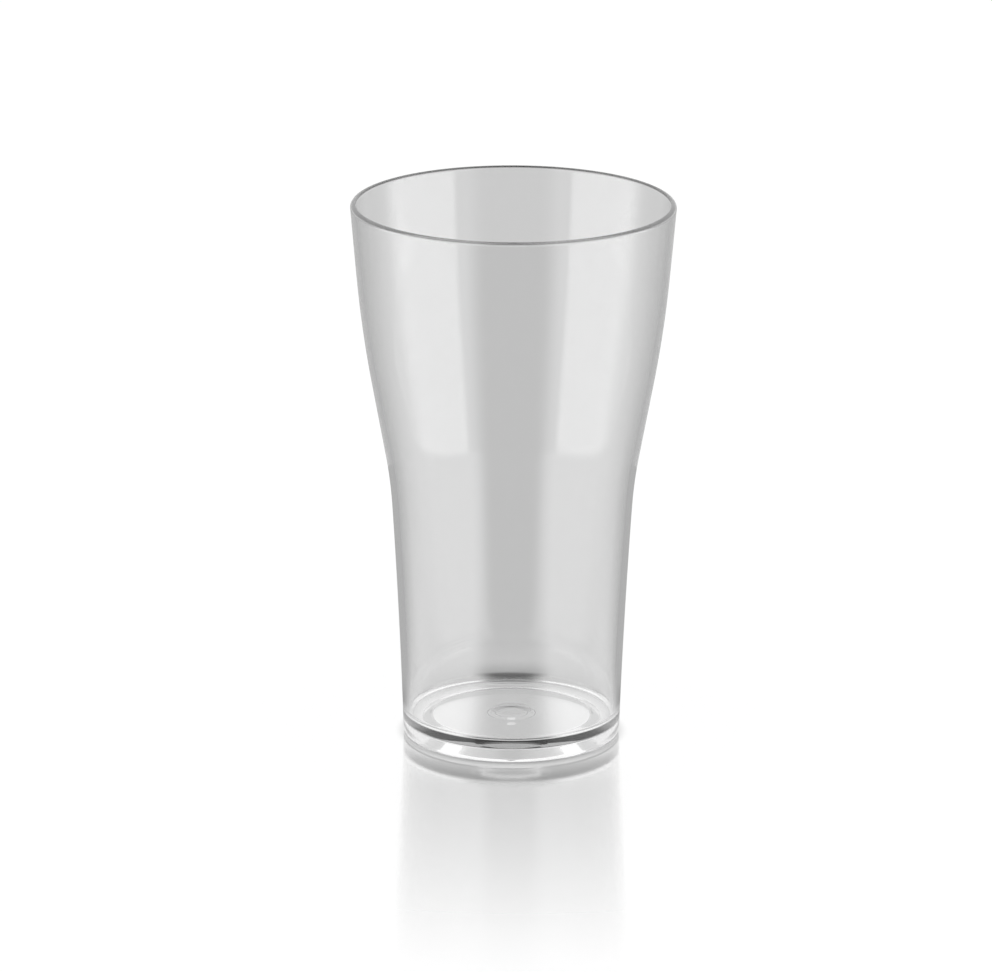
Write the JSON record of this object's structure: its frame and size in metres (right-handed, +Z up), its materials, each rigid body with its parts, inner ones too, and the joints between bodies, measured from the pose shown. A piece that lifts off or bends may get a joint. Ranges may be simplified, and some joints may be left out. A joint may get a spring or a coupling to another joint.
{
  "type": "tulip glass",
  "caption": "Clear moulded tulip tumbler with a tapered lower body, a waist, a flared bowl with a rounded lip and a base raised on a foot ring. Holds a drink and stands on a table.",
  "frame": {"origin": "centre of the foot, on the surface that the tumbler stands on", "axes": "+Z up along the axis of revolution, from the foot to the mouth; X and Y are alike"},
  "size_m": [0.072, 0.072, 0.122],
  "materials": {
    "clear_plastic": "water-clear, polished"
  },
  "bodies": {
    "root": {"tumbler_body": "clear_plastic"}
  },
  "joints": []
}
